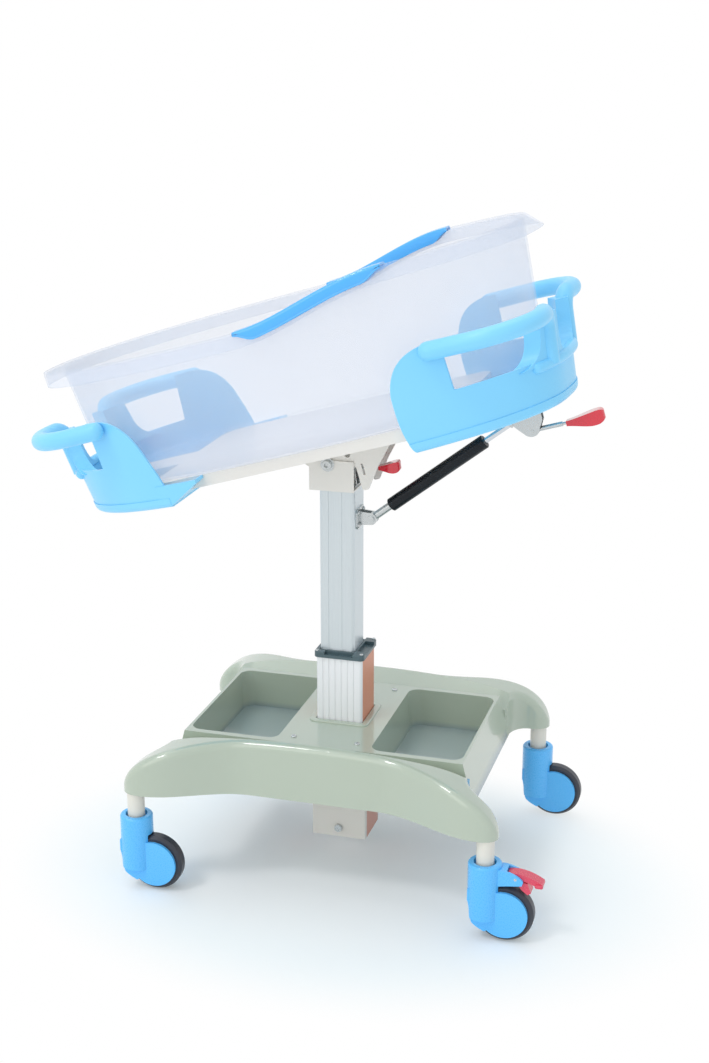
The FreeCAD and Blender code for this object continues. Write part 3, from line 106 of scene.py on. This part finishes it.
def mouldedPlastic(ownSettings):
    # two close tones drift over the skin, a fine grain breaks the gloss and a slow wave bends the highlights
    settings = {**mouldDefaults, **ownSettings}
    material, tree, place = startMaterial(settings["name"])
    drift = addNode(tree, "ShaderNodeTexNoise", {"Scale": settings["driftScale"], "Detail": 2.0},
                    {"Vector": place})
    first, second = (linearFromHex(code) for code in settings["tones"])
    tone = addNode(tree, "ShaderNodeMix", {"data_type": "RGBA", 6: first, 7: second}, {0: drift.outputs["Fac"]})
    colour = tone.outputs[2]
    # the deck's tray floors get a painted shade
    if "trayShadeTone" in settings:
        colour = paintedTrayShade(tree, place, colour, settings["trayShadeTone"])
    skin = addNode(tree, "ShaderNodeTexNoise", {"Scale": 1000.0 / settings["grainMm"], "Detail": 3.0},
                   {"Vector": place})
    wave = addNode(tree, "ShaderNodeTexNoise", {"Scale": 1000.0 / settings["waveMm"], "Detail": 1.0},
                   {"Vector": place})
    gloss = addNode(tree, "ShaderNodeMapRange",
                    {"From Min": noiseLow, "From Max": noiseHigh,
                     "To Min": settings["roughness"] - settings["smoother"],
                     "To Max": settings["roughness"] + settings["rougher"]}, {"Value": skin.outputs["Fac"]})
    slow = addNode(tree, "ShaderNodeBump",
                   {"Strength": settings["waveStrength"], "Distance": settings["waveDepthMm"] / 1000.0},
                   {"Height": wave.outputs["Fac"]})
    fine = addNode(tree, "ShaderNodeBump",
                   {"Strength": settings["grainStrength"], "Distance": settings["depthMm"] / 1000.0},
                   {"Height": skin.outputs["Fac"], "Normal": slow.outputs[0]})
    shader = addNode(tree, "ShaderNodeBsdfPrincipled",
                     {"Coat Weight": settings["coat"], "Coat Roughness": settings["coatRoughness"],
                      "IOR": settings["ior"], "Specular IOR Level": settings["specular"]},
                     {"Base Color": colour, "Roughness": gloss.outputs[0], "Normal": fine.outputs[0]})
    closeMaterial(tree, shader)
    return material


# how far a metal's gloss strays either way along its lines, and how deep they are
metalLines = {"smoother": 0.06, "rougher": 0.08, "strength": 0.4, "depthMm": 0.03}


def metalFinish(settings):
    # stretch draws the pattern out along the way the metal was drawn or brushed
    material, tree, place = startMaterial(settings["name"])
    stretch = addNode(tree, "ShaderNodeMapping", {"Scale": settings["stretch"]}, {"Vector": place})
    lines = addNode(tree, "ShaderNodeTexNoise", {"Scale": 1000.0 / settings["lineMm"], "Detail": 3.0},
                    {"Vector": stretch.outputs[0]})
    first, second = (linearFromHex(code) for code in settings["tones"])
    tone = addNode(tree, "ShaderNodeMix", {"data_type": "RGBA", 6: first, 7: second}, {0: lines.outputs["Fac"]})
    gloss = addNode(tree, "ShaderNodeMapRange",
                    {"From Min": noiseLow, "From Max": noiseHigh,
                     "To Min": settings["roughness"] - metalLines["smoother"],
                     "To Max": settings["roughness"] + metalLines["rougher"]}, {"Value": lines.outputs["Fac"]})
    bump = addNode(tree, "ShaderNodeBump",
                   {"Strength": metalLines["strength"], "Distance": metalLines["depthMm"] / 1000.0},
                   {"Height": lines.outputs["Fac"]})
    shader = addNode(tree, "ShaderNodeBsdfPrincipled", {"Metallic": settings["metallic"]},
                     {"Base Color": tone.outputs[2], "Roughness": gloss.outputs[0], "Normal": bump.outputs[0]})
    closeMaterial(tree, shader)
    return material


# ribsEnd is the height in metres, square to the tilted bed, at which the low ribs fade out
tubFinish = {"name": "milkyPolypropylene", "tones": ("#F4F7FF", "#FAFBFF"), "roughness": 0.16, "ior": 1.46,
             "tilt": 16.5, "ribMm": 15.0, "ribDepthMm": 0.4, "ribStrength": 0.5, "ribsEnd": 0.86, "ribsFade": 0.03,
             "hazeScale": 5.0, "scattered": 0.45, "edgeBlend": 0.25, "veil": 0.16, "veilEdge": 0.34,
             "seenThrough": "#FCFDFF"}


def milkyTub(settings):
    # a thin wall of frosted plastic: part of the light scatters in a cool white, the rest comes straight through
    material, tree, place = startMaterial(settings["name"])
    level = addNode(tree, "ShaderNodeMapping", {"Rotation": (0.0, math.radians(settings["tilt"]), 0.0)},
                    {"Vector": place})
    height = addNode(tree, "ShaderNodeSeparateXYZ", links={"Vector": level.outputs[0]})
    turns = addNode(tree, "ShaderNodeMath", {"operation": "MULTIPLY", 1: 2000.0 * math.pi / settings["ribMm"]},
                    {0: height.outputs["Z"]})
    ribs = addNode(tree, "ShaderNodeMath", {"operation": "SINE"}, {0: turns.outputs[0]})
    low = addNode(tree, "ShaderNodeMapRange",
                  {"From Min": settings["ribsEnd"], "From Max": settings["ribsEnd"] - settings["ribsFade"]},
                  {"Value": height.outputs["Z"]})
    raised = addNode(tree, "ShaderNodeMath", {"operation": "MULTIPLY"}, {0: ribs.outputs[0], 1: low.outputs[0]})
    bump = addNode(tree, "ShaderNodeBump",
                   {"Strength": settings["ribStrength"], "Distance": settings["ribDepthMm"] / 1000.0},
                   {"Height": raised.outputs[0]})
    haze = addNode(tree, "ShaderNodeTexNoise", {"Scale": settings["hazeScale"], "Detail": 1.0}, {"Vector": place})
    first, second = (linearFromHex(code) for code in settings["tones"])
    tone = addNode(tree, "ShaderNodeMix", {"data_type": "RGBA", 6: first, 7: second}, {0: haze.outputs["Fac"]})
    front = addNode(tree, "ShaderNodeBsdfPrincipled", {"Roughness": settings["roughness"], "IOR": settings["ior"]},
                    {"Base Color": tone.outputs[2], "Normal": bump.outputs[0]})
    through = addNode(tree, "ShaderNodeBsdfTranslucent",
                      links={"Color": tone.outputs[2], "Normal": bump.outputs[0]})
    body = addNode(tree, "ShaderNodeMixShader", {0: settings["scattered"]},
                   {1: front.outputs[0], 2: through.outputs[0]})
    clear = addNode(tree, "ShaderNodeBsdfTransparent", {"Color": linearFromHex(settings["seenThrough"])})
    graze = addNode(tree, "ShaderNodeLayerWeight", {"Blend": settings["edgeBlend"]})
    veil = addNode(tree, "ShaderNodeMapRange", {"To Min": settings["veil"], "To Max": settings["veilEdge"]},
                   {"Value": graze.outputs["Facing"]})
    wall = addNode(tree, "ShaderNodeMixShader",
                   links={0: veil.outputs[0], 1: clear.outputs[0], 2: body.outputs[0]})
    closeMaterial(tree, wall)
    return material


# the strip covers a side's middle: sideFrom is how far out the side lies, stripHalf half the strip's width
columnFinish = {"name": "powderCoatWhiteWithRedStrip", "front": "#F4F3F4", "strip": "#E29373",
                "sideFrom": 0.0416, "stripHalf": 0.0365, "peelMm": 3.0, "smoothest": 0.34, "roughest": 0.44,
                "peelStrength": 0.35, "peelDepthMm": 0.05}
footFinish = {**columnFinish, "name": "powderCoatCreamWithRedStrip", "front": "#E2DDD4", "strip": "#D29480"}


def paintedColumn(settings):
    # powder coat with a brick red strip let into the two plain sides that face the tub's ends
    material, tree, place = startMaterial(settings["name"])
    spot = addNode(tree, "ShaderNodeSeparateXYZ", links={"Vector": place})
    side = addNode(tree, "ShaderNodeMath", {"operation": "ABSOLUTE"}, {0: spot.outputs["X"]})
    flat = addNode(tree, "ShaderNodeMath", {"operation": "GREATER_THAN", 1: settings["sideFrom"]},
                   {0: side.outputs[0]})
    across = addNode(tree, "ShaderNodeMath", {"operation": "ABSOLUTE"}, {0: spot.outputs["Y"]})
    inside = addNode(tree, "ShaderNodeMath", {"operation": "LESS_THAN", 1: settings["stripHalf"]},
                     {0: across.outputs[0]})
    strip = addNode(tree, "ShaderNodeMath", {"operation": "MULTIPLY"}, {0: flat.outputs[0], 1: inside.outputs[0]})
    peel = addNode(tree, "ShaderNodeTexNoise", {"Scale": 1000.0 / settings["peelMm"], "Detail": 2.0},
                   {"Vector": place})
    tone = addNode(tree, "ShaderNodeMix",
                   {"data_type": "RGBA", 6: linearFromHex(settings["front"]), 7: linearFromHex(settings["strip"])},
                   {0: strip.outputs[0]})
    gloss = addNode(tree, "ShaderNodeMapRange",
                    {"From Min": noiseLow, "From Max": noiseHigh, "To Min": settings["smoothest"],
                     "To Max": settings["roughest"]}, {"Value": peel.outputs["Fac"]})
    bump = addNode(tree, "ShaderNodeBump",
                   {"Strength": settings["peelStrength"], "Distance": settings["peelDepthMm"] / 1000.0},
                   {"Height": peel.outputs["Fac"]})
    shader = addNode(tree, "ShaderNodeBsdfPrincipled",
                     links={"Base Color": tone.outputs[2], "Roughness": gloss.outputs[0],
                            "Normal": bump.outputs[0]})
    closeMaterial(tree, shader)
    return material


# the grain of a mould is about 0.3 mm and is drawn coarser, so that it survives at this size
plastics = {
    "bumper": {"name": "rotomouldedPolyethyleneSkyBlue", "tones": ("#83D4FD", "#8CDAFF"), "roughness": 0.34,
               "grainMm": 2.5, "depthMm": 0.02},
    "trim": {"name": "softVinylBlue", "tones": ("#42B0FA", "#4CB7FE"), "roughness": 0.18, "grainMm": 2.5,
             "coat": 0.8},
    "housing": {"name": "mouldedNylonBlue", "tones": ("#5ABDFF", "#60C2FF"), "roughness": 0.28, "grainMm": 2.0,
                "depthMm": 0.006, "coat": 0.3},
    # the deck's last tone is the painted shade laid on its tray floors
    "deck": {"name": "mouldedAbsSageGrey", "tones": ("#B3BDAB", "#B5BFAE"), "roughness": 0.2, "grainMm": 2.5,
             "depthMm": 0.004, "waveMm": 90.0, "coat": 1.0, "trayShadeTone": "#8FA0A3"},
    "collar": {"name": "mouldedNylonSlate", "tones": ("#475A60", "#51666C"), "roughness": 0.3, "grainMm": 2.0},
    "glide": {"name": "acetalNatural", "tones": ("#E2E0D8", "#ECEAE2"), "roughness": 0.4, "grainMm": 2.0},
    "core": {"name": "mouldedNylonGrey", "tones": ("#A9ACB2", "#B9BCC2"), "roughness": 0.4, "grainMm": 2.0},
    "tyre": {"name": "thermoplasticRubberSlate", "tones": ("#2B2E37", "#343843"), "roughness": 0.42,
             "grainMm": 1.6, "depthMm": 0.06, "coat": 0.15},
    "pedal": {"name": "mouldedNylonRaspberry", "tones": ("#D93E58", "#E54B66"), "roughness": 0.25,
              "grainMm": 2.0, "coat": 0.3},
    "grip": {"name": "mouldedAbsSignalRed", "tones": ("#DC142C", "#E5203A"), "roughness": 0.16, "grainMm": 2.5,
             "depthMm": 0.004, "coat": 1.0},
    "cream": {"name": "powderCoatCream", "tones": ("#E6E1DA", "#EDE8E1"), "roughness": 0.4, "grainMm": 3.0,
              "depthMm": 0.06},
    "frame": {"name": "powderCoatIvory", "tones": ("#E2DDD1", "#E8E3D8"), "roughness": 0.36, "grainMm": 3.0,
              "depthMm": 0.06},
    "spring": {"name": "stovedEnamelBlack", "tones": ("#12181D", "#181F26"), "roughness": 0.24, "grainMm": 3.0,
               "depthMm": 0.001, "specular": 0.25, "waveMm": 400.0},
}

# a drawn tube shows fine lines along its length, plated pressings and rods only a soft cloud
metals = {
    "aluminium": {"name": "anodisedAluminiumSatin", "tones": ("#CBD4D8", "#DCE3E6"), "roughness": 0.38,
                  "stretch": (1.0, 1.0, 0.02), "lineMm": 1.6, "metallic": 0.7},
    "zinc": {"name": "zincPlatedSteel", "tones": ("#BFC4C5", "#D6DADB"), "roughness": 0.27,
             "stretch": (1.0, 1.0, 1.0), "lineMm": 3.0, "metallic": 0.9},
    "chrome": {"name": "hardChromeRod", "tones": ("#CDD2D8", "#DCE1E6"), "roughness": 0.14,
               "stretch": (1.0, 1.0, 1.0), "lineMm": 2.0, "metallic": 1.0},
}

materials = {key: mouldedPlastic(settings) for key, settings in plastics.items()}
materials.update({key: metalFinish(settings) for key, settings in metals.items()})
materials["tub"] = milkyTub(tubFinish)
materials["column"] = paintedColumn(columnFinish)
materials["foot"] = paintedColumn(footFinish)

finishByNode = {
    "base_frame": "frame", "base_cover": "deck", "deck_screws": "zinc", "caster_kingpins": "zinc",
    "lower_column": "column", "upper_column": "aluminium", "column_collar": "collar", "collar_screws": "zinc",
    "column_glides": "glide", "height_lift_cylinder": "spring", "height_lift_rod": "chrome",
    "column_head_plug": "glide", "column_foot_bracket": "foot", "foot_bracket_bolts": "zinc",
    "column_head_bracket": "cream", "bed_platform": "cream", "tilt_saddle": "cream", "pivot_bolt": "zinc",
    "head_bumper": "bumper", "foot_bumper": "bumper", "bumper_screws": "zinc", "tub": "tub",
    "tub_trim_right": "trim", "tub_trim_left": "trim", "tilt_spring_cylinder": "spring",
    "spring_lower_eye": "zinc", "tilt_spring_rod": "chrome", "spring_upper_eye": "zinc",
    "spring_lock_nut": "zinc", "spring_lower_clevis": "zinc", "spring_lower_pin": "zinc",
    "clevis_screws": "zinc", "spring_head_bracket": "zinc", "head_bracket_pins": "zinc",
    "tilt_release_lever": "zinc", "tilt_lever_grip": "grip", "height_release_lever": "zinc",
    "height_lever_grip": "grip", "height_lever_pin": "zinc", "height_lever_stand": "zinc",
}
partsOfCaster = {"_fork": "housing", "_tyre": "tyre", "_hub": "core", "_axle": "zinc"}
for name in nodes:
    if name.startswith("caster_"):
        for ending, finish in partsOfCaster.items():
            if name.endswith(ending):
                finishByNode[name] = finish
    if name.startswith("brake_"):
        finishByNode[name] = "pedal" if "pedal" in name else "zinc"

for name, item in nodes.items():
    item.data.materials.clear()
    item.data.materials.append(materials[finishByNode[name]])
print("finishes set")

# soft edge guards on the sloping stretch of the rim: a hook-shaped strip that follows the rim's own line
# tub sizes in millimetres, u along the tilted bed from the pivot and v square to it
rim = {"pivot": (-20.0, 735.0), "tilt": 16.5, "halfLong": 458.0, "halfWide": 260.0, "oval": 2.2,
       "wallLong": 408.0, "wallWide": 237.0, "wallOval": 2.4, "steps": 24,
       "line": [((-28, 273), (0, 273), (12, 274), (34, 277)), ((34, 277), (85.4, 285), (154.6, 310), (212, 314.5)),
                ((212, 314.5), (228, 316), (238, 316), (258, 316))]}
guard = {"from": -8.0, "to": 243.0, "skirt": 17.5, "lining": 18.0, "proud": 3.2, "gap": 0.25, "taper": 34.0,
         "tipDepth": 0.22, "lean": 0.095, "stations": 64}


def onBezier(points, share):
    rest = 1.0 - share
    weights = (rest ** 3, 3 * rest ** 2 * share, 3 * rest * share ** 2, share ** 3)
    return tuple(sum(w * p[k] for w, p in zip(weights, points)) for k in (0, 1))


def rimHeights():
    steps = rim["steps"]
    return [onBezier(stretch, k / steps) for stretch in rim["line"] for k in range(steps + 1)]


def heightAt(u, table):
    for (u0, v0), (u1, v1) in zip(table, table[1:]):
        if u0 <= u <= u1 and u1 > u0:
            return v0 + (v1 - v0) * (u - u0) / (u1 - u0)
    return table[0][1] if u < table[0][0] else table[-1][1]


def ovalWidth(u, halfLong, halfWide, power):
    share = min(abs(u) / halfLong, 0.999)   # stays just short of the oval's very end
    return halfWide * (1.0 - share ** power) ** (1.0 / power)


def smoothStep(value):
    value = min(max(value, 0.0), 1.0)
    return value * value * (3.0 - 2.0 * value)


def guardProfile(width, skirt, lining):
    # outward from the rim's edge and up from its top, once round the hook: skirt, crown with its groove, lining
    out, gap = guard["proud"], guard["gap"]
    inside = -width - 0.4
    low = inside - guard["lean"] * lining
    return [(gap, gap), (gap, -skirt + 1.2), (gap + 0.7, -skirt), (out - 0.4, -skirt),
            (out + 0.3, -skirt + 1.0), (out + 0.3, -skirt + 2.4), (out - 0.6, -skirt + 3.2), (out, -skirt + 4.2),
            (out, -2.0), (out - 0.5, 0.8), (out - 1.7, 2.5), (out - 3.6, out),
            (-5.6, out), (-6.4, out - 0.9), (-7.4, out - 0.9), (-8.2, out),
            (inside + 4.0, out), (inside - 1.2, 2.4), (inside - 2.5, 0.6), (inside - 3.0, -2.0),
            (low - 3.0, -lining + 1.0), (low - 2.2, -lining), (low - 0.8, -lining), (low, -lining + 1.0),
            (inside, -1.0), (inside + 0.4, gap)]


def edgeGuard(name, side):
    table = rimHeights()
    tilt = math.radians(rim["tilt"])
    mesh = bmesh.new()
    rings = []
    for k in range(guard["stations"]):
        u = guard["from"] + (guard["to"] - guard["from"]) * k / (guard["stations"] - 1)
        near = min(u - guard["from"], guard["to"] - u) / guard["taper"]
        depth = guard["tipDepth"] + (1.0 - guard["tipDepth"]) * smoothStep(near)
        edge = ovalWidth(u, rim["halfLong"], rim["halfWide"], rim["oval"])
        width = edge - ovalWidth(u, rim["wallLong"], rim["wallWide"], rim["wallOval"])
        ring = []
        for out, up in guardProfile(width, guard["skirt"] * depth, guard["lining"] * depth):
            v = heightAt(u, table) + up
            x = rim["pivot"][0] + u * math.cos(tilt) - v * math.sin(tilt)
            z = rim["pivot"][1] + u * math.sin(tilt) + v * math.cos(tilt)
            ring.append(mesh.verts.new((x / 1000, side * (edge + out) / 1000, z / 1000)))
        rings.append(ring)
    for here, following in zip(rings, rings[1:]):
        for k in range(len(here)):
            mesh.faces.new((here[k], here[k - 1], following[k - 1], following[k]))
    for ring in (rings[0], rings[-1]):
        mesh.faces.new(ring)
    bmesh.ops.recalc_face_normals(mesh, faces=mesh.faces)
    for face in mesh.faces:
        face.smooth = len(face.verts) == 4   # the two end caps stay flat
    data = bpy.data.meshes.new(name)
    mesh.to_mesh(data)
    mesh.free()
    data.materials.append(materials["trim"])
    piece = bpy.data.objects.new(name, data)
    bpy.context.scene.collection.objects.link(piece)
    return piece


for node, side in (("tub_trim_right", -1), ("tub_trim_left", 1)):
    strip = edgeGuard(node.replace("tub_trim", "edge_guard"), side)
    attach(strip, "tub")
    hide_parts(node)
print("edge guards made")


def backdropRays(tree):
    # 1 for the rays of the camera, of gloss and of clear plastic, which see the white backdrop
    rays = addNode(tree, "ShaderNodeLightPath")
    straight = addNode(tree, "ShaderNodeMath", {"operation": "MAXIMUM"},
                       {0: rays.outputs["Is Camera Ray"], 1: rays.outputs["Is Glossy Ray"]})
    seen = addNode(tree, "ShaderNodeMath", {"operation": "MAXIMUM"},
                   {0: straight.outputs[0], 1: rays.outputs["Is Transmission Ray"]})
    return seen.outputs[0]


# a seamless white floor: camera, gloss and clear plastic see it fade to plain white away from the object, and
# under the object they see a pale blue painted shadow mixed into its real shadow
studio = {"floorSpan": 60.0, "floorColour": "#FDFDFD", "paintedShadowColour": "#E4F3F7", "paintedShadowShare": 0.08,
          "fadeFrom": 0.3, "fadeTo": 0.66, "fadeOval": (1.0, 1.35, 1.0), "fadeCentre": (0.04, -0.08, 0.0),
          "skyColour": "#EFF8FF", "skyStrength": 0.76}
floorMesh = bpy.data.meshes.new("studioFloor")
half = studio["floorSpan"] / 2
floorMesh.from_pydata([(-half, -half, 0), (half, -half, 0), (half, half, 0), (-half, half, 0)], [], [(0, 1, 2, 3)])
floor = bpy.data.objects.new("studioFloor", floorMesh)
bpy.context.scene.collection.objects.link(floor)
floorMaterial, tree, place = startMaterial("seamlessPaper")
middle = addNode(tree, "ShaderNodeVectorMath", {"operation": "SUBTRACT", 1: studio["fadeCentre"]}, {0: place})
oval = addNode(tree, "ShaderNodeVectorMath", {"operation": "MULTIPLY", 1: studio["fadeOval"]},
               {0: middle.outputs[0]})
reach = addNode(tree, "ShaderNodeVectorMath", {"operation": "LENGTH"}, {0: oval.outputs[0]})
fade = addNode(tree, "ShaderNodeMapRange",
               {"interpolation_type": "SMOOTHSTEP", "From Min": studio["fadeFrom"], "From Max": studio["fadeTo"]},
               {"Value": reach.outputs["Value"]})
least = addNode(tree, "ShaderNodeMapRange", {"To Min": studio["paintedShadowShare"], "To Max": 1.0},
                {"Value": fade.outputs[0]})
away = addNode(tree, "ShaderNodeMath", {"operation": "MULTIPLY"}, {0: least.outputs[0], 1: backdropRays(tree)})
# painted shadow: the floor's plain colour turns pale blue under the object
paintedShadowTint = addNode(tree, "ShaderNodeMix", {"data_type": "RGBA", 6: linearFromHex(studio["paintedShadowColour"]), 7: white},
               {0: fade.outputs[0]})
paper = addNode(tree, "ShaderNodeBsdfDiffuse", {"Color": linearFromHex(studio["floorColour"])})
plain = addNode(tree, "ShaderNodeEmission", {"Strength": 1.0}, {"Color": paintedShadowTint.outputs[2]})
closeMaterial(tree, addNode(tree, "ShaderNodeMixShader",
                            links={0: away.outputs[0], 1: paper.outputs[0], 2: plain.outputs[0]}))
floorMesh.materials.append(floorMaterial)

world = bpy.data.worlds.new("studioSky")
bpy.context.scene.world = world
world.use_nodes = True
sky = world.node_tree
sky.nodes.clear()
lit = addNode(sky, "ShaderNodeBackground",
              {"Color": linearFromHex(studio["skyColour"]), "Strength": studio["skyStrength"]})
bright = addNode(sky, "ShaderNodeBackground", {"Color": white, "Strength": 1.0})
both = addNode(sky, "ShaderNodeMixShader",
               links={0: backdropRays(sky), 1: lit.outputs[0], 2: bright.outputs[0]})
addNode(sky, "ShaderNodeOutputWorld", links={"Surface": both.outputs[0]})

# a broad key overhead for soft shadows, a fill from the front, and a narrow lamp that draws the highlights
lamps = {"broadKey": {"energy": 0.66, "spread": 50.0, "from": (-0.25, 0.25, 1.0), "colour": "#FFFBF4"},
         "frontFill": {"energy": 0.5, "spread": 45.0, "from": (-0.4, -1.0, 0.55), "colour": "#FFFBF4"},
         "narrowKey": {"energy": 0.5, "spread": 12.0, "from": (-0.45, -0.5, 1.0), "colour": "#FFFFFF"}}
for name, settings in lamps.items():
    lamp = bpy.data.lights.new(name, "SUN")
    lamp.energy = settings["energy"]
    lamp.color = linearFromHex(settings["colour"])[:3]
    lamp.angle = math.radians(settings["spread"])
    sun = bpy.data.objects.new(name, lamp)
    sun.rotation_euler = Vector(settings["from"]).to_track_quat("Z", "Y").to_euler()
    bpy.context.scene.collection.objects.link(sun)

# down and turn are degrees, focal and imageHigh pixels, sensorHigh millimetres
view = {"place": (0.8143, -2.7291, 1.5034), "down": 17.5, "turn": 16.3, "focal": 1717.0, "imageHigh": 1063.0,
        "sensorHigh": 24.0, "farthest": 100.0}
cameraData = bpy.data.cameras.new("camera")
cameraData.sensor_fit = "VERTICAL"
cameraData.sensor_height = view["sensorHigh"]
cameraData.lens = view["sensorHigh"] * view["focal"] / view["imageHigh"]
cameraData.clip_end = view["farthest"]
camera = bpy.data.objects.new("camera", cameraData)
camera.location = view["place"]
camera.rotation_euler = (math.radians(90.0 - view["down"]), 0.0, math.radians(view["turn"]))
bpy.context.scene.collection.objects.link(camera)
bpy.context.scene.camera = camera
bpy.context.scene.view_settings.view_transform = "Standard"
print("studio set")
